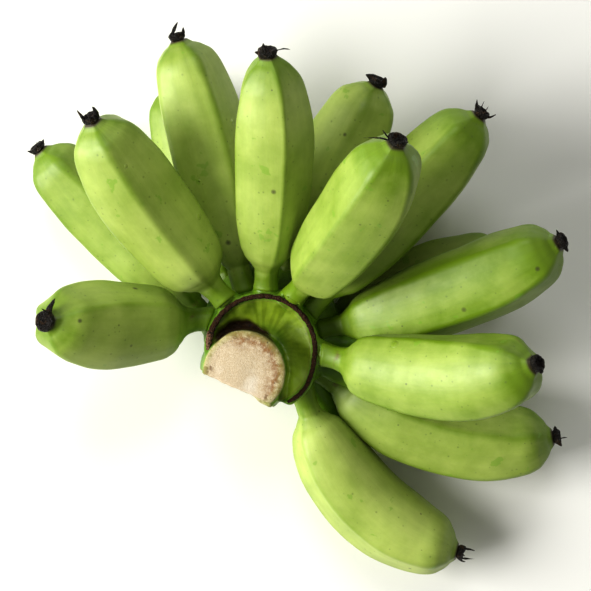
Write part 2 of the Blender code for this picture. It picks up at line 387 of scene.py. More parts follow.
def skin_marks(tree, colour, place, drift, damp, scuffs):
    """The skin with its marks. The crease lies near the shoulder and the scorch at the tip."""
    pores = use(tree, SPECKS, Place=place, Cells=420.0, Share=0.20, Size=0.27)
    spots = use(tree, SPECKS, Place=place, Cells=85.0, Share=0.10, Size=0.13)
    dots = use(tree, SPECKS, Place=place, Cells=170.0, Share=0.16, Size=0.11)
    patches = use(tree, PATCHES, Place=place, Scale=110.0, Cut=0.60, Edge=0.05)
    from_root, from_tip = attribute(tree, "from_root"), attribute(tree, "from_tip")
    crease = times(tree, ramp(tree, from_root, (0.10, 0.0), (0.125, 1.0), (0.155, 0.0)), patches)
    scorch = ramp(tree, plus(tree, from_tip, 0.012, drift), (0.010, 1.0), (0.024, 0.0))
    for mask, strength, dye in (
        (damp, 0.45, DAMP_GREEN),
        (scuffs, 0.45, SCUFF_BROWN),
        (pores, 0.55, PORE_GREEN),
        (dots, 0.8, DOT_BROWN),
        (spots, 1.0, SPOT_BROWN),
        (crease, 0.7, CREASE_BROWN),
        (scorch, 1.0, SCORCH_BROWN),
    ):
        colour = blend(tree, times(tree, mask, strength), colour, dye)
    return colour


# %% [markdown]
# ### Wax, dew and light inside the skin
#
# Wax makes a soft sheen, so the shader gets a rough coat. Dew drops are sparse specks that are
# both raised and shiny. A little light goes into the skin and comes out green.

# %% The skin material
SKIN_RELIEF = 0.00012  # metres


def banana_skin():
    material = bpy.data.materials.new("banana_skin")
    tree, bsdf = shader_of(material)
    place = object_place(tree)
    unrolled = add(tree, "ShaderNodeUVMap", uv_map="unrolled").outputs[0]
    along_it = {"Vector": unrolled, "Scale": (1.0, 0.09, 1.0)}
    stretched = add(tree, "ShaderNodeMapping", along_it).outputs[0]
    drift = grain(tree, place, 26.0, 3.0, 0.5)
    fibres = grain(tree, stretched, 260.0, 3.0, 0.6)
    damp = use(tree, PATCHES, Place=place, Scale=95.0, Cut=0.67, Edge=0.012)
    scuffs = use(tree, PATCHES, Place=stretched, Scale=130.0, Cut=0.715, Edge=0.05)
    dew = use(tree, SPECKS, Place=place, Cells=62.0, Share=0.09, Size=0.11)
    colour = skin_greens(tree, place, stretched, drift, fibres)
    colour = skin_marks(tree, colour, place, drift, damp, scuffs)

    gloss = plus(tree, 0.42, 0.20, grain(tree, place, 190.0, 2.0))
    gloss = plus(tree, plus(tree, gloss, -0.2, damp), -0.45, dew, clamp=True)
    height = plus(tree, fibres, 0.25, grain(tree, place, 1500.0, 2.0))
    height = plus(tree, plus(tree, height, -0.5, scuffs), 4.0, dew)
    connect(tree, bsdf, colour, gloss, height, SKIN_RELIEF)
    for name, value in (
        ("Specular IOR Level", 0.5),
        ("Coat Weight", 0.30),
        ("Coat Roughness", 0.5),
        ("Subsurface Weight", 0.10),
        ("Subsurface Radius", (0.6, 1.0, 0.2)),
        ("Subsurface Scale", 0.002),
    ):
        bsdf.inputs[name].default_value = value
    print("banana skin:", len(tree.nodes), "nodes")
    return material


SKIN = banana_skin()

# %% [markdown]
# ## Reading a finger back from its solid
#
# The CAD finger is a stack of rings of points, stored as loose triangles. Merged into one mesh it
# can be read like knitting: start at the root's middle point, step to its neighbours, which are
# the first ring, and go on ring by ring to the tip. That gives the finger's own grid. With it the
# diagonals can be dissolved into clean quads, the ridges found, and the skin unrolled.

# %% Walking the rings
SIDES = 15  # points in each ring


def merged_copy(node):
    """The solid's own mesh as one piece, with room for the numbers that each point will carry."""
    bm = bmesh.new()
    bm.from_mesh(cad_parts[node].data)
    bmesh.ops.remove_doubles(bm, verts=bm.verts, dist=2e-6)
    for label in ("from_root", "from_tip", "ridge"):
        bm.verts.layers.float.new(label)
    bm.loops.layers.uv.new("unrolled")
    return bm


def neighbours(vert):
    return [edge.other_vert(vert) for edge in vert.link_edges]


def middle(ring):
    return sum((v.co for v in ring), Vector()) / len(ring)


def matching(ring, members):
    """The members of the next ring, in the order of the ring before.

    Each is the one that is nearest by its place round the middle.
    """
    step = middle(members) - middle(ring)
    return [min(members, key=lambda v: (v.co - step - near.co).length) for near in ring]


def walk_rings(bm):
    """The root's middle point, the rings in order, and a middle point for the tip."""
    hubs = (v for v in bm.verts if len(v.link_edges) == SIDES)
    root = min(hubs, key=lambda v: (v.co.xy - AXIS.xy).length)
    members = set(neighbours(root))
    start = min(members, key=lambda v: v.co.z)  # the seam of the unrolled skin lies underneath
    first = [start, next(v for v in neighbours(start) if v in members)]
    while len(first) < SIDES:
        first.append(next(v for v in neighbours(first[-1]) if v in members and v not in first))
    rings, seen = [first], {root, *first}
    while members := {v for near in rings[-1] for v in neighbours(near)} - seen:
        rings.append(matching(rings[-1], members))
        seen |= members
    cap = [face for face in bm.faces if all(v in rings[-1] for v in face.verts)]
    end = bmesh.ops.dissolve_faces(bm, faces=cap)["region"]
    tip = bmesh.ops.poke(bm, faces=end)["verts"][0]
    return root, rings, tip


# %% [markdown]
# ## Giving a finger its skin mesh
#
# The quads are subdivided three times. The Subdivision modifier is applied, because the next
# step moves single points of the fine mesh, as a sculptor would. Distances are stored in
# decimetres, so that their values lie between 0 and about 2.

# %% From rings to clean quads
DM = 0.1
MEAN_GIRTH = 1.25 * DM  # round a finger: how wide its unrolled skin is


def quads_with_attributes(bm, root, rings, tip):
    """Dissolves the diagonals and stores where each point is along and around the finger."""
    column = {v: (r, c) for r, ring in enumerate(rings) for c, v in enumerate(ring)}
    diagonals = [
        edge
        for edge in bm.edges
        if all(v in column for v in edge.verts)
        and column[edge.verts[0]][0] != column[edge.verts[1]][0]
        and column[edge.verts[0]][1] != column[edge.verts[1]][1]
    ]
    bmesh.ops.dissolve_edges(bm, edges=diagonals)
    middles = [root.co.copy()] + [middle(ring) for ring in rings]
    lengths = [0.0]
    for before, after in zip(middles, middles[1:]):
        lengths.append(lengths[-1] + (after - before).length)
    from_root, from_tip = (bm.verts.layers.float[label] for label in ("from_root", "from_tip"))
    unrolled = bm.loops.layers.uv["unrolled"]
    for v in bm.verts:
        r = column[v][0] if v in column else (0 if v is root else len(rings) - 1)
        v[from_root] = lengths[r + 1] / DM
        v[from_tip] = (lengths[-1] - lengths[r + 1]) / DM
    for face in bm.faces:
        at = [column[v][1] for v in face.verts if v in column]
        wraps = max(at) - min(at) > 1
        for loop in face.loops:
            c = column.get(loop.vert, (0, sum(at) / len(at)))[1]
            c = SIDES if wraps and c == 0 else c
            loop[unrolled].uv = (c / SIDES * MEAN_GIRTH, loop.vert[from_root] * DM)
    return lengths[-1]


# %% Finishing a mesh and handing it over
def modified(bm, name, kind, **settings):
    """A new object with the mesh of bm after one modifier, which is applied."""
    mesh = bpy.data.meshes.new(name)
    bm.to_mesh(mesh)
    bm.free()
    obj = bpy.data.objects.new(name, mesh)
    bpy.context.scene.collection.objects.link(obj)
    modifier = obj.modifiers.new(kind.lower(), kind)
    for key, value in settings.items():
        setattr(modifier, key, value)
    graph = bpy.context.evaluated_depsgraph_get()
    shaped = obj.evaluated_get(graph)
    fine = bpy.data.meshes.new_from_object(shaped, preserve_all_data_layers=True, depsgraph=graph)
    obj.modifiers.clear()
    obj.data = fine
    bpy.data.meshes.remove(mesh)
    fine.name = name
    fine.shade_smooth()
    return obj


def hand_over(obj, material, slot, *nodes):
    """Gives a finished piece its material and puts it in the frame in place of its solids."""
    obj.data.materials.clear()
    obj.data.materials.append(material)
    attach(obj, "root")
    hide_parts(*nodes)
    print(obj.name, "has", len(obj.data.polygons), "faces")


# %% [markdown]
# ## Sculpting the fine mesh
#
# A grown finger is never as even as a machined one. The skin is pushed in and out along its
# normals by slow noise, the ridges are drawn out to a soft keel, the shoulder and the tip are
# made blunter, a crease runs where the shoulder sits on the thin stem, and the skin puckers
# where it meets the dried flower.

# %% Reading and moving points
def values_of(mesh, name):
    found = np.zeros(len(mesh.vertices), np.float32)
    mesh.attributes[name].data.foreach_get("value", found)
    return found


def points_of(mesh, what="co"):
    found = np.zeros(len(mesh.vertices) * 3, np.float32)
    mesh.vertices.foreach_get(what, found)
    return found.reshape(-1, 3)


def store(mesh, name, values):
    """Keeps one number for each point of the mesh, for its material to read."""
    layer = mesh.attributes.new(name, "FLOAT", "POINT")
    layer.data.foreach_set("value", np.asarray(values, np.float32))


def put_points(mesh, points):
    mesh.vertices.foreach_set("co", points.astype(np.float32).ravel())
    mesh.update()


def slow_noise(points, wavelength, seed=0.0):
    """One smooth random value, about -1 to 1, for each point."""
    shift = Vector((seed, seed * 0.7, -seed * 1.3))
    return np.array([noise.noise(Vector(p) / wavelength + shift) for p in points], np.float32)


def bell(x, centre, width):
    return np.exp(-(((x - centre) / width) ** 2))


# %% [markdown]
# ## Facets and ridges
#
# A young banana is five-sided, and no two are alike: some facets are wide and smooth, others
# narrow. The fine mesh keeps the solid's rows of points, so each row can be given a new outline
# round its own middle: a rounded polygon whose corners lie at that finger's ridge angles. A row
# keeps its mean radius, except at the shoulder, where the radii of near rows are averaged so
# that the stem flares into the fruit without a step. Angles are measured from the top to the
# right of a person who looks along the finger from the crown.

# %% Ridge angles, in degrees
RIDGE_ANGLES = {
    "upper_01": (-104, 38, 100, 160, 210),
    "upper_02": (-11, 64, 130, 195, 275),
    "upper_03": (-52, 66, 125, 185, 245),
    "upper_04": (43, 110, 180, 245, 322),
    "upper_05": (-17, 55, 127, 199, 271),
    "upper_06": (-19, 55, 127, 199, 271),
    "upper_07": (18, 88, 160, 228, 296),
    "upper_08": (26, 95, 165, 235, 305),
    "upper_09": (-2, 76, 140, 205, 283),
    "upper_10": (28, 100, 160, 218, 284),
    "lower_05": (12, 80, 150, 222, 300),
}
EVEN_ANGLES = (0, 72, 144, 216, 288)
FACET_DEPTH = 0.125  # how far the middle of a facet lies inside the corners' circle
FACET_BULGE = 1.8  # 1 is two straight halves that meet in its middle, more is rounder
RIDGE_BLUNTING = (-2.2, 0, 2.2)  # degrees over which a ridge is averaged
FLARE = 3.4  # how far, in mm, the stem's flare into the shoulder is spread
ROW_GAP = 0.05 * MM  # rows of points lie further apart than this along a finger
STEM_SHARE = 0.3  # how strong the facets are on the stem


def outline(turn, angles):
    """The share of the corners' radius at each turn, and the radians to the nearest ridge."""
    corners = np.sort(np.radians(angles) % (2 * np.pi))
    corners = np.append(corners, corners[0] + 2 * np.pi)
    turn = (turn - corners[0]) % (2 * np.pi) + corners[0]
    facet = np.clip(np.searchsorted(corners, turn, side="right") - 1, 0, len(angles) - 1)
    low, high = corners[facet], corners[facet + 1]
    off_middle = np.abs(2 * (turn - low) / (high - low) - 1)
    share = 1 - FACET_DEPTH * (1 - off_middle**FACET_BULGE)
    return share, (1 - off_middle) * (high - low) / 2


def rows_of(s):
    """The row of each point, from its distance along the finger. A gap starts a new row."""
    order = np.argsort(s)
    row = np.zeros(len(s), int)
    row[order] = np.cumsum(np.diff(s[order], prepend=s[order[0]]) > ROW_GAP / DM)
    return row


def reprofiled(points, s, angles):
    """The points with each row's outline redrawn, and each point's distance from a ridge in mm."""
    row = rows_of(s)
    counts = np.bincount(row)
    place = np.bincount(row, s) / counts * DM
    centres = np.stack([np.bincount(row, points[:, i]) / counts for i in range(3)], 1)
    ahead = np.gradient(centres, axis=0)
    ahead /= np.linalg.norm(ahead, axis=1)[:, None]
    top = np.array(UP) - ahead * ahead[:, 2:3]
    top /= np.linalg.norm(top, axis=1)[:, None]
    right = np.cross(ahead, top)
    arm = points - centres[row]
    forward = np.einsum("ij,ij->i", arm, ahead[row])
    x, y = (np.einsum("ij,ij->i", arm, way[row]) for way in (right, top))
    turn, radius = np.arctan2(x, y), np.hypot(x, y)

    means = np.bincount(row, radius) / counts
    near = np.exp(-(((place[:, None] - place) / MM / FLARE) ** 2))
    shoulder = smooth_step(7 * MM, 11 * MM, place) * smooth_step(36 * MM, 24 * MM, place)
    mean = (means + shoulder * (near @ means / near.sum(1) - means))[row]

    shares = [outline(turn + math.radians(d), angles)[0] for d in RIDGE_BLUNTING]
    share = sum(shares) / len(shares)
    even = (np.bincount(row, share) / counts)[row]
    full = smooth_step(6 * MM, 34 * MM, place[row])
    share = 1 + (share / even - 1) * (STEM_SHARE + (1 - STEM_SHARE) * full)
    on_wall = radius > 0.25 * mean  # the two end caps keep their points
    radius = np.where(on_wall, mean * share, radius)
    moved = centres[row] + forward[:, None] * ahead[row]
    moved += (np.sin(turn) * radius)[:, None] * right[row]
    moved += (np.cos(turn) * radius)[:, None] * top[row]
    return moved, outline(turn, angles)[1] * mean / MM


# %% [markdown]
# ## Small growth differences
#
# No two fingers of a hand grow alike. Each one leans a little away from its solid and is a
# little fuller, by the numbers listed below. The last number of each is a tone for its whole skin:
# above 0 is paler. It was set under these lamps too, so it is partly painted light and shade that
# makes up for the light, and isn't a known difference between the fingers.

# %% Growth: lean in mm along X and Y, how much fuller in mm, and tone (partly painted light and shade)
GROWTH = {
    "upper_01": (1.6, 0.8, 0.5, 0.26),
    "upper_02": (3.0, -0.9, 1.2, 0.02),
    "upper_03": (0.4, 1.2, 0.6, -0.18),
    "upper_04": (2.0, 1.8, 1.0, -0.38),
    "upper_05": (1.2, 1.5, 1.0, -0.15),
    "upper_06": (0.3, 0.5, 0.2, -0.08),
    "upper_07": (2.0, 2.0, -1.5, 0.1),
    "upper_08": (1.0, 2.4, 1.2, 0.15),
    "upper_09": (0.6, 1.5, 1.3, 0.18),
    "upper_10": (-0.2, -1.0, 0.6, 0.06),
    "lower_01": (1.0, 3.5, 1.0, 0.0),
    "lower_03": (1.5, 2.2, 1.8, 0.25),
    "lower_04": (-1.0, 1.0, 0.8, -0.1),
    "lower_05": (-3.6, 0.2, 1.2, -0.08),
}
ALIKE = (0, 0, 0.5, 0)  # for a finger that isn't in the list


def lean(bm, root, rings, tip, shift):
    """Carries the outer part of a finger sideways, so that it leans without leaving its stem."""
    for number, verts in enumerate([[root], *rings, [tip]]):
        share = float(smooth_step(0.15, 0.75, number / len(rings)))
        bmesh.ops.translate(bm, verts=verts, vec=share * shift)


# %% [markdown]
# ## The fifteen fingers
#
# Each finger goes through the same steps: read the solid, lean it, make quads, subdivide, redraw
# the outline, sculpt, and hand over to the frame in place of its solid. The middles of its rings
# are kept for the pieces that join its two ends. The underside isn't pushed into the surface
# that the hand lies on.


# %% How a finger's points move
def growth_moves(points, s, t, off_ridge, number, fuller):
    """How far, in mm, each point moves along its normal. s and t are mm from root and tip."""
    body = smooth_step(12, 34, s) * smooth_step(0, 12, t)
    move = body * (
        0.6
        + fuller
        + 0.5 * slow_noise(points, 0.030, number)
        + 0.22 * slow_noise(points, 0.013, number + 50.0)
    )
    # blunt tip and shoulder
    move += 1.5 * bell(t, 13, 8) + 0.6 * smooth_step(17, 11, s) + 1.0 * bell(s, 24, 7)
    # keels, and the crease where the stem begins
    move += 0.42 * smooth_step(10, 30, s) * smooth_step(2, 12, t) * bell(off_ridge, 0.0, 2.0)
    move -= 0.35 * bell(s, 14.5, 1.4)
    # small wrinkles, strongest at the stem, and the pucker at the flower
    move += 0.10 * slow_noise(points, 0.0045, number) * (0.4 + smooth_step(22, 6, t))
    move -= 0.5 * bell(t, 2.5, 2.2) + 0.5 * bell(t, 0.0, 3.0)
    return move


def kept_above_ground(before, after):
    """The moved points, with a downward push damped near the ground and none below it."""
    pushed_down = np.maximum(before[:, 2] - after[:, 2], 0)
    after[:, 2] += pushed_down * smooth_step(25 * MM, 5 * MM, before[:, 2])
    after[:, 2] = np.maximum(after[:, 2], 0)
    return after


# %% The fingers
RIDGE_REACH = 8  # mm from a ridge within which the skin is greener
FINGER_LINES = {}
for number, name in enumerate(FINGERS):
    short_name = name.removeprefix("banana_")
    east, north, fuller, paleness_and_light = GROWTH.get(short_name, ALIKE)
    bm = merged_copy(name)
    root, rings, tip = walk_rings(bm)
    lean(bm, root, rings, tip, Vector((east, north, 0)) * MM)
    ring_middles = [middle(ring) for ring in rings]
    FINGER_LINES[name] = [root.co.copy()] + ring_middles + [tip.co.copy()]
    length = quads_with_attributes(bm, root, rings, tip)
    finger_name = name.replace("banana", "finger")
    finger = modified(bm, finger_name, "SUBSURF", levels=3, render_levels=3)

    mesh = finger.data
    s, t = values_of(mesh, "from_root"), values_of(mesh, "from_tip")
    angles = RIDGE_ANGLES.get(short_name, EVEN_ANGLES)
    points, off_ridge = reprofiled(points_of(mesh), s, angles)
    put_points(mesh, points)
    near_ridge = np.clip(1 - off_ridge / RIDGE_REACH, 0, 1).astype(np.float32)
    mesh.attributes["ridge"].data.foreach_set("value", near_ridge)
    s, t = s * DM / MM, t * DM / MM
    move = growth_moves(points, s, t, off_ridge, number, fuller)
    moved = points + points_of(mesh, "normal") * (move * MM)[:, None]
    put_points(mesh, kept_above_ground(points, moved))
    # the finger's tone, partly painted light and shade, for the skin to read
    store(mesh, "tone_and_painted_light", np.full(len(points), paleness_and_light))
    print(name, "is", round(length / MM), "mm long")
    hand_over(finger, SKIN, "banana_skin", name)

# %% [markdown]
# ## The crown and the cut stalk
#
# The fingers of a real hand grow out of one woody crown, so their stems should flow into it. The
# crown's solid and a short flared collar for each stem are put in one mesh, and a voxel Remesh
# melts them together, which no bevel could do where fifteen stems meet a curved wall.
#
# Two more shapes go in that mesh: a web of skin low between the stems, and three short stubs.
# Both are guesses. They close gaps between the stems that would show the ground, and what fills
# those gaps on this hand isn't known.

# %% Melting the stem collars into the crown
VOXEL = 0.75 * MM
ROUND = 24  # sides of a collar or a stub
COLLAR_LENGTH = 9.0 * MM
COLLAR_RADII = 7.4 * MM, 5.3 * MM
WEB_RADIUS, WEB_HALF_HEIGHT = 36.0 * MM, 11 * MM
WEB_BELOW_STEMS, WEB_BACK = 13 * MM, 11 * MM
STUB_LENGTH, STUB_RADII = 36 * MM, (8.5 * MM, 5.0 * MM)
STUB_OUT, STUB_DOWN = 8 * MM, 11 * MM
UPPER_ROW = ("01", "02", "03", "04", "05", "06", "07", "08", "09", "10")


def along_z(place, ahead):
    """The matrix that carries a shape made along +Z to a place, turned to look ahead."""
    return Matrix.Translation(place) @ UP.rotation_difference(ahead).to_matrix().to_4x4()


def tapered(bm, place, ahead, radii, length):
    """Adds a closed cone that narrows from the first radius to the second."""
    bmesh.ops.create_cone(
        bm,
        cap_ends=True,
        segments=ROUND,
        radius1=radii[0],
        radius2=radii[1],
        depth=length,
        matrix=along_z(place, ahead),
    )


bm = merged_copy("crown_with_stalk")
for line in FINGER_LINES.values():
    ahead = (line[3] - line[1]).normalized()
    place = line[1] + ahead * COLLAR_LENGTH * 0.2 - UP * 0.8 * MM
    tapered(bm, place, ahead, COLLAR_RADII, COLLAR_LENGTH)

# the web: a wide flat bulge that stops short of the cut side
stems = [FINGER_LINES[f"banana_upper_{n}"] for n in UPPER_ROW]
low_stem = sum(line[1].z for line in stems) / len(UPPER_ROW)
web = bmesh.ops.create_icosphere(bm, subdivisions=4, radius=1.0)["verts"]
bmesh.ops.scale(bm, verts=web, vec=(WEB_RADIUS, WEB_RADIUS, WEB_HALF_HEIGHT))
web_middle = Vector((AXIS.x, AXIS.y, low_stem - WEB_BELOW_STEMS)) - SPLIT * WEB_BACK
bmesh.ops.translate(bm, verts=web, vec=web_middle)
for v in web:
    v.co -= SPLIT * max((v.co - STALK_AXIS).dot(SPLIT), 0.0)

# the stubs: one in each of the first three gaps of the upper row
for one, two in zip(stems[:3], stems[1:4]):
    ahead = (one[3] - one[1] + two[3] - two[1]).normalized()
    place = (one[2] + two[2]) / 2 + ahead * STUB_OUT - UP * STUB_DOWN
    tapered(bm, place, ahead, STUB_RADII, STUB_LENGTH)
crown = modified(bm, "crown", "REMESH", mode="VOXEL", voxel_size=VOXEL)
print("the melted crown has", len(crown.data.polygons), "faces")

# %% [markdown]
# ### Sculpting the crown
#
# The fine points are then moved: a torn groove behind the stalk, a thin fold in front of it, an
# uneven knife cut on top, and an open side that is a little wider than a circle. Each is a mask
# between 0 and 1, made of distances from the crown's axis and the stalk's, of bearings and of
# heights. The same masks are stored, because the finish needs to know which tissue is where.


# %% Evening out and widening
def relaxed(mesh, turns):
    """Evens out the steps that a voxel mesh leaves."""
    bm = bmesh.new()
    bm.from_mesh(mesh)
    every_way = {"use_axis_x": True, "use_axis_y": True, "use_axis_z": True}
    for _ in range(turns):
        bmesh.ops.smooth_vert(bm, verts=bm.verts, factor=0.5, **every_way)
    bm.to_mesh(mesh)
    bm.free()


def spread_outward(away):
    """How far, in mm, the crown's open side is wider than a circle."""
    bearing = np.degrees(np.arctan2(away[:, 1], away[:, 0]))
    return 2.6 * smooth_step(-8, -50, bearing) * smooth_step(-130, -80, bearing)


# %% Where each point of the crown is, in mm and degrees
mesh = crown.data
relaxed(mesh, 4)
points, normals = points_of(mesh), points_of(mesh, "normal")
from_axis, from_stalk = ((points - np.array(place)) / MM for place in (AXIS, STALK_AXIS))
wide, near = np.hypot(*from_axis.T[:2]), np.hypot(*from_stalk.T[:2])
bearing = np.degrees(np.arctan2(from_stalk[:, 1], from_stalk[:, 0]))
below_top = STALK_TOP / MM - points[:, 2] / MM
below_rim = CROWN_TOP / MM - points[:, 2] / MM
off_split = SPLIT_DEPTH / MM - from_stalk @ np.array(SPLIT)
ragged = slow_noise(points, 0.004)
coarse = slow_noise(points, 0.011, 7.0)

# %% The masks of its tissues
bowl = smooth_step(10, 6, below_rim) * smooth_step(25.6, 24.8, wide)
bowl = bowl * smooth_step(0.35, 0.6, normals[:, 2]) * smooth_step(19.6, 21.0, near)
torn_edge = 22.0 + 3.2 * bell(bearing, 98, 24) + 1.3 * ragged + 0.9 * coarse
torn = smooth_step(torn_edge + 2.6, torn_edge - 1.4, near) * smooth_step(19.6, 20.4, near)
torn = torn * smooth_step(30, 55, bearing) * smooth_step(146, 122, bearing)
torn = torn * smooth_step(16, 8, below_rim)
fold = bell(near, 23.3, 0.8) * smooth_step(-88, -78, bearing)
fold = fold * smooth_step(15, -5, bearing) * smooth_step(12, 6, below_rim)
cut = smooth_step(2.0, 0.9, below_top)
stain = bell(near, 16.4, 4.2) * smooth_step(-55, -30, bearing) * smooth_step(125, 95, bearing)
split = smooth_step(2.6, 1.2, off_split) * smooth_step(0.5, 0.8, normals @ np.array(SPLIT))
# painted light: two sides of the bowl, below right and upper left of the stalk, are made brighter
# where these lamps leave them too dark
painted_light = 0.85 * smooth_step(20, -45, bearing) * smooth_step(20.5, 25.0, near)
painted_light = painted_light + 0.5 * smooth_step(120, 160, bearing)
edge = smooth_step(9.0, 0.5, np.minimum(20.6 - near, 12.0))
lip = bowl * smooth_step(21.5, 25.5, wide)
spokes = [
    noise.noise(Vector((x / w * 9, y / w * 9, w / 16)))
    for (x, y, _), w in zip(from_axis, np.maximum(wide, 1))
]
streak = 0.5 + np.array(spokes)
print("torn:", int((torn > 0.5).sum()), "points; bowl:", int((bowl > 0.5).sum()), "points")

# %% Moving the points
lift = -4.5 * torn - 1.6 * fold + cut * (0.35 * coarse + 0.12 * ragged - 0.3)
lift = lift + bowl * 0.5 * coarse
push = (1 - cut) * (0.22 * ragged + 0.35 * coarse) + split * 0.3 * ragged
swell = 0.9 * smooth_step(22, 20.5, near) * smooth_step(10, 0, below_top)
swell = swell * smooth_step(16, 19, near) * smooth_step(-70, -40, bearing)
swell = swell * smooth_step(130, 100, bearing)
spread = spread_outward(from_axis) * smooth_step(9, 5, np.abs(below_rim))
spread = spread * smooth_step(22, 25, wide)


def away_from(offsets, distances, step):
    """A level move of so many mm straight away from an axis, in metres."""
    return offsets[:, :2] / np.maximum(distances, 1)[:, None] * (step * MM)[:, None]


points = points + normals * (push * MM)[:, None]
points[:, 2] += lift * MM
points[:, :2] += away_from(from_axis, wide, spread)
points[:, :2] += away_from(from_stalk, near, swell)
# under the dry rim the crown stays low enough for the rim to lie on it
low_enough = np.minimum(points[:, 2], CROWN_TOP - 0.2 * MM)
points[:, 2] = np.where((near > 21.5) & (wide < 30.0), low_enough, points[:, 2])
put_points(mesh, points)
TISSUES = {
    "cut": cut,
    "split": split,
    "torn": torn,
    "bowl": bowl,
    "stain": stain,
    "streak": streak,
    "painted_light": painted_light,
    "edge": edge,
    "lip": lip,
}
for name, values in TISSUES.items():
    store(mesh, name, values)

# %% [markdown]
# ## Finishes of the crown
#
# One piece shows four tissues: green skin outside, the paler bowl with faint streaks, brown
# torn fibres in the groove, painted near black there as painted shade too, and the pith on the
# knife cut, which has dried to a speckled tan with a browner edge. The numbers stored on the mesh
# say which tissue is where. Two sides of the bowl are also painted brighter, as painted light,
# because these lamps leave them too dark.

# %% The crown's green skin and its bowl
CROWN_GREENS = (0.085, 0.20, 0.006), (0.20, 0.36, 0.02)
BOWL_GREENS = (0.085, 0.15, 0.004), (0.24, 0.35, 0.018)
PALE_STREAK, DARK_STREAK = (0.30, 0.42, 0.05), (0.06, 0.10, 0.003)
# the brighter green of the painted light on the bowl
PAINTED_LIGHT_GREEN = (0.46, 0.66, 0.045)
RUST = (0.16, 0.10, 0.02)


def crown_greens(tree, place, drift):
    """Green skin outside, the streaky bowl inside with painted light on two sides, and rust at its
    lip.
    """
    skin = ramp(tree, drift, (0.35, CROWN_GREENS[0]), (0.65, CROWN_GREENS[1]))
    inside = ramp(tree, drift, (0.38, BOWL_GREENS[0]), (0.60, BOWL_GREENS[1]))
    streak = attribute(tree, "streak")
    inside = blend(tree, ramp(tree, streak, (0.45, 0.0), (0.80, 0.30)), inside, PALE_STREAK)
    inside = blend(tree, ramp(tree, streak, (0.20, 0.30), (0.45, 0.0)), inside, DARK_STREAK)
    # painted light on two sides of the bowl
    inside = blend(tree, attribute(tree, "painted_light"), inside, PAINTED_LIGHT_GREEN)
    colour = blend(tree, attribute(tree, "bowl"), skin, inside)
    at_lip = ramp(tree, attribute(tree, "lip"), (0.75, 0.0), (1.0, 1.0))
    return blend(tree, times(tree, at_lip, grain(tree, place, 500.0)), colour, RUST)


# %% The cut stalk's pith
PITH_TANS = (0.46, 0.33, 0.19), (0.61, 0.50, 0.345), (0.73, 0.65, 0.52)
PITH_PALE = (0.80, 0.73, 0.62)
PITH_STAIN = (0.17, 0.085, 0.030)
PITH_BROWN = (0.29, 0.145, 0.05)
PITH_FLECK = (0.07, 0.035, 0.015)
PITH_GREEN = (0.30, 0.34, 0.06)


def stalk_pith(tree, place, drift, fine):
    """Dried pith: pale in its middle, stained and flecked outwards, green at the very edge."""
    edge = attribute(tree, "edge")
    pith = grain(tree, place, 1500.0, 3.0, 0.75)
    tan = ramp(tree, pith, *zip((0.25, 0.50, 0.75), PITH_TANS))
    cloudy = ramp(tree, drift, (0.45, 0.0), (0.65, 0.8))
    pale = times(tree, ramp(tree, edge, (0.0, 1.0), (0.25, 0.0)), cloudy)
    patches = use(tree, PATCHES, Place=place, Scale=230.0, Cut=0.50, Edge=0.10)
    stained = times(tree, ramp(tree, edge, (0.25, 0.0), (0.6, 1.0)), patches)
    blotches = ramp(tree, grain(tree, place, 330.0, 4.0, 0.7), (0.38, 0.0), (0.62, 1.0))
    browned = times(tree, attribute(tree, "stain"), blotches)
    specks = use(tree, SPECKS, Place=place, Cells=1100.0, Share=0.4, Size=0.35)
    flecked = times(tree, specks, ramp(tree, edge, (0.2, 0.12), (0.7, 0.8)))
    greened = times(tree, ramp(tree, edge, (0.62, 0.0), (0.95, 0.8)), fine)
    for mask, dye in (
        (pale, PITH_PALE),
        (times(tree, stained, 0.75), PITH_STAIN),
        (browned, PITH_BROWN),
        (flecked, PITH_FLECK),
        (greened, PITH_GREEN),
    ):
        tan = blend(tree, mask, tan, dye)
    return tan


# %% The crown material
SPLIT_GREEN = (0.28, 0.36, 0.06)
TORN_FIBRES_AND_SHADE = (0.010, 0.005, 0.002), (0.075, 0.032, 0.008)
CROWN_SPOT = (0.02, 0.015, 0.006)
CROWN_RELIEF = 0.0005  # metres


def crown_skin():
    material = bpy.data.materials.new("crown_skin")
    tree, bsdf = shader_of(material)
    place = object_place(tree)
    cut, split, torn = (attribute(tree, n) for n in ("cut", "split", "torn"))
    drift = grain(tree, place, 60.0, 3.0, 0.6)
    fine = grain(tree, place, 700.0, 3.0, 0.7)
    tan = stalk_pith(tree, place, drift, fine)
    colour = crown_greens(tree, place, drift)
    colour = blend(tree, split, colour, blend(tree, 0.35, tan, SPLIT_GREEN))
    colour = blend(tree, cut, colour, tan)

    # the groove: brown torn fibres, painted near black as painted shade in the recess too
    dark = ramp(tree, plus(tree, torn, 0.35, fine), (0.30, 0.0), (0.95, 1.0))
    fibres = ramp(tree, fine, (0.35, TORN_FIBRES_AND_SHADE[0]), (0.65, TORN_FIBRES_AND_SHADE[1]))
    colour = blend(tree, dark, colour, fibres)
    spots = use(tree, SPECKS, Place=place, Cells=260.0, Share=0.12, Size=0.16)
    colour = blend(tree, spots, colour, CROWN_SPOT)

    dry = maths(tree, "MAXIMUM", cut, split)
    gloss = plus(tree, plus(tree, 0.18, 0.35, drift), 0.45, dry)
    crumbs = use(tree, CRUMBLE, Place=place, Scale=1300.0, Cracks=0.4)
    height = plus(tree, times(tree, fine, 0.3), plus(tree, torn, 0.35, dry), crumbs)
    connect(tree, bsdf, colour, gloss, height, CROWN_RELIEF)
    bsdf.inputs["Specular IOR Level"].default_value = 0.4
    return material


hand_over(crown, crown_skin(), "crown_skin", "crown_with_stalk")

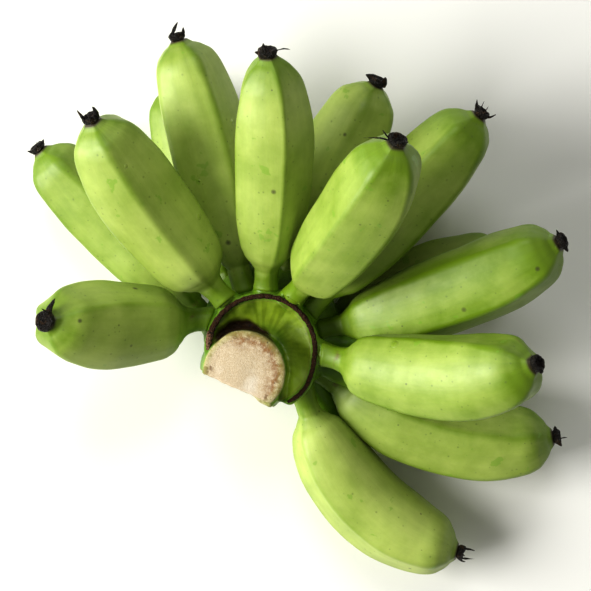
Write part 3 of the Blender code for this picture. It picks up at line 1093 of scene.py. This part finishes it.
# %% [markdown]
# ## The dry rim
#
# When the leaf that covered the young hand falls off, it leaves a corky brown scar all round the
# crown. It is a small round outline spun round the axis, then roughened. The end on the left is
# thicker and frayed, and the other end runs out thin.

# %% Spinning and roughening the rim
RIM_FROM, RIM_TO = -65.0, 181.0  # bearings
RIM_MIDDLE, RIM_HALF = 27.1 * MM, 1.3 * MM
RIM_STEPS = 230

bm = bmesh.new()
upright = Matrix.Rotation(math.pi / 2, 4, "X")
bmesh.ops.create_circle(bm, cap_ends=True, segments=12, radius=RIM_HALF, matrix=upright)
bmesh.ops.translate(bm, verts=bm.verts, vec=(RIM_MIDDLE, 0, CROWN_TOP + 0.9 * MM))
to_start = Matrix.Rotation(math.radians(RIM_FROM), 3, "Z")
bmesh.ops.rotate(bm, verts=bm.verts, matrix=to_start)
sweep = math.radians(RIM_TO - RIM_FROM)
bmesh.ops.spin(bm, geom=bm.faces[:], axis=UP, angle=sweep, steps=RIM_STEPS)
bmesh.ops.translate(bm, verts=bm.verts, vec=AXIS)
bmesh.ops.recalc_face_normals(bm, faces=bm.faces)
rim = modified(bm, "corky_rim", "SUBSURF", levels=1, render_levels=1)

mesh = rim.data
points, normals = points_of(mesh), points_of(mesh, "normal")
away = (points - np.array(AXIS)) / MM
along_rim = (np.degrees(np.arctan2(away[:, 1], away[:, 0])) - RIM_FROM) % 360
thick = 0.55 * smooth_step(185, 236, along_rim) - 0.55 * smooth_step(16, 0, along_rim)
thick = thick - 0.7 * smooth_step(236, 241, along_rim)
lumpy = 0.34 * slow_noise(points, 0.0028) + 0.30 * slow_noise(points, 0.0011, 3.0)
lumpy = lumpy + 0.25 * slow_noise(points, 0.012, 9.0)
outward = away[:, :2] / np.hypot(*away.T[:2])[:, None]
points[:, :2] += outward * (spread_outward(away) * MM)[:, None]
put_points(mesh, points + normals * ((lumpy + thick) * MM)[:, None])
store(mesh, "frayed", smooth_step(208, 236, along_rim))

# %% [markdown]
# ### Dry tissue
#
# The rim and the dried flowers are the same kind of dead tissue in two browns, so one function
# makes both finishes. Where a part has bleached, the mesh carries a number for it.


# %% The dry tissue materials
def dry_tissue(name, browns, glossy, relief, worn, bleached):
    """Dead tissue in two browns. worn is the attribute that says where it has bleached."""
    material = bpy.data.materials.new(name)
    tree, bsdf = shader_of(material)
    place = object_place(tree)
    rough = use(tree, CRUMBLE, Place=place, Scale=900.0, Cracks=0.7)
    colour = ramp(tree, rough, (0.45, browns[0]), (0.78125, browns[1]))
    share = times(tree, attribute(tree, worn), grain(tree, place, 900.0))
    colour = blend(tree, ramp(tree, share, (0.36, 0.0), (0.55, 1.0)), colour, bleached)
    connect(tree, bsdf, colour, plus(tree, glossy, 0.25, rough), rough, relief)
    bsdf.inputs["Specular IOR Level"].default_value = 0.3
    return material


CORK_BROWNS = (0.006, 0.002, 0.001), (0.060, 0.021, 0.005)
FLOWER_BLACKS = (0.002, 0.0015, 0.0015), (0.010, 0.007, 0.005)
RIM_CORK = dry_tissue("rim_cork", CORK_BROWNS, 0.45, 0.0007, "frayed", (0.30, 0.15, 0.10))
DRIED = dry_tissue(
    "dried_flower", FLOWER_BLACKS, 0.24, 0.0006, "bleached", (0.05, 0.026, 0.010)
)
hand_over(rim, RIM_CORK, "dry_rim", "dry_rim")

# %% [markdown]
# ## Dried flowers
#
# Every finger ends in what is left of its flower: a shrivelled cup with a rolled edge, and black
# shreds of petals and style that point wherever they dried. The cup is one profile spun round
# the finger's axis and crumpled by noise. A shred starts as a small disc that is drawn out step
# by step, thinner each time, while its direction turns.

# %% Cups
CUP = (
    (0.0, -1.2),
    (3.6, -1.1),
    (4.6, -0.4),
    (4.9, 0.7),
    (4.7, 1.8),
    (4.0, 2.5),
    (3.2, 2.3),
    (2.4, 1.4),
    (1.2, 1.1),
    (0.0, 1.3),
)
CUP_SIDES, CUP_TALLER = 24, 1.05
CUP_WIDTHS = {"upper_10": 1.1, "upper_07": 0.98, "lower_03": 0.95, "upper_06": 0.92}
USUAL_CUP_WIDTH = 0.86


def spun(profile, steps):
    """A closed turned shape about +Z from (radius, height) points in mm."""
    bm = bmesh.new()
    verts = [bm.verts.new((radius * MM, 0, height * MM)) for radius, height in profile]
    edges = [bm.edges.new(pair) for pair in zip(verts, verts[1:])]
    bmesh.ops.spin(bm, geom=verts + edges, axis=UP, angle=2 * math.pi, steps=steps, use_merge=True)
    bmesh.ops.remove_doubles(bm, verts=bm.verts, dist=1e-6)
    bmesh.ops.recalc_face_normals(bm, faces=bm.faces)
    return bm


# %% Shreds
SHRED_STEP = 1.1  # mm
SHRED_FLATNESS = 0.6
SHRED_WANDER = 0.16
SHRED_START = 3.3 * MM, 0.9 * MM  # from the cup's axis, and beyond its middle


class Shred(NamedTuple):
    """One black shred. Lengths are in mm, angles in degrees."""

    turn: float  # where on the cup it starts: 0 is its top, 90 its right
    bearing: float  # of its way, anticlockwise from +X
    rise: float  # of its way, above level
    length: float
    width: float
    curl: float = 0  # how far it turns sideways over its length
    lift: float = 0  # and how far it turns upwards


def draw_shred(bm, start, way, shred):
    """Draws a flat tapering shred out of the cup, from a small disc that is extruded."""
    _, _, _, length, width, curl, lift = shred
    steps = max(5, round(length / SHRED_STEP))
    place = along_z(start, way)
    disc = bmesh.ops.create_circle(bm, cap_ends=True, segments=6, radius=width / 2 * MM, matrix=place)
    face = disc["verts"][0].link_faces[0]
    flat = (1, 1, SHRED_FLATNESS)
    bmesh.ops.scale(bm, verts=face.verts, vec=flat, space=Matrix.Translation(-start))
    for step in range(steps):
        side = way.cross(UP).normalized()
        sideways = Matrix.Rotation(math.radians(curl / steps), 3, "Z")
        turn = sideways @ Matrix.Rotation(math.radians(lift / steps), 3, side)
        wander = noise.noise_vector(start * 900 + Vector((step, width, length)))
        way = (turn @ way + SHRED_WANDER * wander).normalized()
        start = start + way * length / steps * MM
        face = bmesh.ops.extrude_discrete_faces(bm, faces=[face])["faces"][0]
        left = steps - step
        thinner = ((left - 1) / left) ** 0.65 if left > 1 else 0.3
        bmesh.ops.translate(bm, verts=face.verts, vec=way * length / steps * MM)
        bmesh.ops.rotate(bm, verts=face.verts, cent=start, matrix=turn)
        space = Matrix.Translation(-start)
        bmesh.ops.scale(bm, verts=face.verts, vec=(thinner,) * 3, space=space)


# %% The shreds of each finger
SHREDS = {
    "upper_01": (
        (-50, 4, 10, 7.0, 2.4, -8),
        (55, -6, 0, 8.0, 1.5, 14, 10),
        (100, -62, -5, 4.0, 2.2, 50),
        (0, -20, 40, 3.0, 3.0),
    ),
    "upper_02": ((20, 25, 10, 5.5, 1.4, -25), (-70, 105, 20, 3.0, 3.2), (60, -50, 10, 3.0, 3.0)),
    "upper_03": ((-150, 190, 75, 3.0, 3.4, 30), (30, 20, 80, 2.6, 3.0), (90, -90, 60, 2.6, 3.0)),
    "upper_04": ((-80, 112, 25, 3.4, 2.4), (70, -40, 0, 3.2, 3.6, -20), (0, 10, 60, 3.0, 3.0)),
    "upper_05": (
        (-70, 95, 25, 5.5, 2.6),
        (-20, 72, 30, 6.5, 1.5, -10),
        (20, 55, 20, 6.0, 1.3, 10),
        (80, -8, 5, 5.0, 2.4, 45),
    ),
    "upper_06": (
        (-60, 168, 15, 13.0, 1.2, 14, -12),
        (-75, 150, 25, 6.0, 1.8, -25),
        (10, 70, 65, 4.5, 2.2),
        (-20, 100, 65, 4.5, 2.0),
        (60, 40, 50, 4.0, 2.4, -30),
    ),
    "upper_07": (
        (-25, 105, 40, 6.5, 4.4, -15),
        (60, 40, 15, 9.0, 1.0, -60),
        (-80, 170, 10, 3.0, 3.4),
        (30, 70, 60, 4.0, 3.0),
    ),
    "upper_08": (
        (-65, 82, 25, 9.0, 3.2, -34, 10),
        (60, 70, 20, 4.2, 2.8, 20),
        (0, 100, 50, 3.0, 3.0),
    ),
    "upper_09": ((-60, 128, 30, 7.5, 2.4, -12), (60, 75, 35, 6.0, 3.6, 60), (0, 120, 50, 3.5, 3.0)),
    "upper_10": (
        (80, 72, 15, 9.5, 4.6, -14),
        (20, 168, 15, 7.0, 4.2, 18),
        (-20, 195, 5, 6.0, 3.0, -20),
        (50, 105, 30, 6.5, 3.0, 40),
        (60, 62, 20, 8.0, 2.2, 12),
        (120, 40, 5, 4.0, 3.0, 30),
    ),
    "lower_01": ((0, 20, 20, 4.0, 2.6, 10), (80, -20, 5, 3.5, 2.4)),
    "lower_02": ((0, 60, 20, 4.0, 2.4), (-70, 85, 5, 4.0, 2.2)),
    "lower_03": ((-75, 140, 25, 4.0, 5.0), (60, 45, 35, 4.6, 5.4, 40), (0, 80, 60, 3.2, 3.4)),
    "lower_04": ((0, 110, 20, 4.5, 2.4), (70, 80, 5, 3.5, 2.4)),
    "lower_05": ((-10, 92, 35, 4.6, 2.2, -20), (70, 60, 20, 3.0, 2.8), (-80, 170, 5, 3.0, 2.6)),
}

# %% [markdown]
# ### Putting cup and shreds together
#
# The top of a cup is the side that faces up when a person looks along the finger. Each shred
# starts on the cup's edge. The finished piece is crumpled by noise, less so far from the cup,
# where the shreds are thin.

# %% The dried flowers
for number, (name, shreds) in enumerate(SHREDS.items()):
    line = FINGER_LINES[f"banana_{name}"]
    ahead = (line[-1] - line[-4]).normalized()
    side = ahead.cross(UP).normalized()
    top = side.cross(ahead)
    bm = spun(CUP, CUP_SIDES)
    cup_width = CUP_WIDTHS.get(name, USUAL_CUP_WIDTH)
    bmesh.ops.scale(bm, verts=bm.verts, vec=(cup_width, cup_width, CUP_TALLER))
    bmesh.ops.transform(bm, verts=bm.verts, matrix=along_z(line[-1], ahead))
    for shred in (Shred(*numbers) for numbers in shreds):
        turn, rise = math.radians(shred.turn), math.radians(shred.rise)
        spoke = math.cos(turn) * top + math.sin(turn) * side
        way = from_bearing(shred.bearing, math.cos(rise), math.sin(rise))
        start = line[-1] + spoke * SHRED_START[0] + ahead * SHRED_START[1]
        draw_shred(bm, start, way, shred)
    bmesh.ops.recalc_face_normals(bm, faces=bm.faces)
    flower = modified(bm, f"dried_flower_{name}", "SUBSURF", levels=2, render_levels=2)

    mesh = flower.data
    points, normals = points_of(mesh), points_of(mesh, "normal")
    out_there = np.linalg.norm(points - np.array(line[-1]), axis=1) / MM
    crumple = 0.55 * slow_noise(points, 0.0034, number)
    crumple = crumple + 0.35 * slow_noise(points, 0.0014, number + 20.0)
    thin = 0.45 + 0.55 * smooth_step(6.5, 4.0, out_there)
    put_points(mesh, points + normals * (crumple * thin * MM)[:, None])
    bleached = 0.5 + slow_noise(points, 0.0030, number + 60.0)
    store(mesh, "bleached", np.clip(bleached, 0, 1))
    hand_over(flower, DRIED, "dry_flower", f"flower_end_{name}")
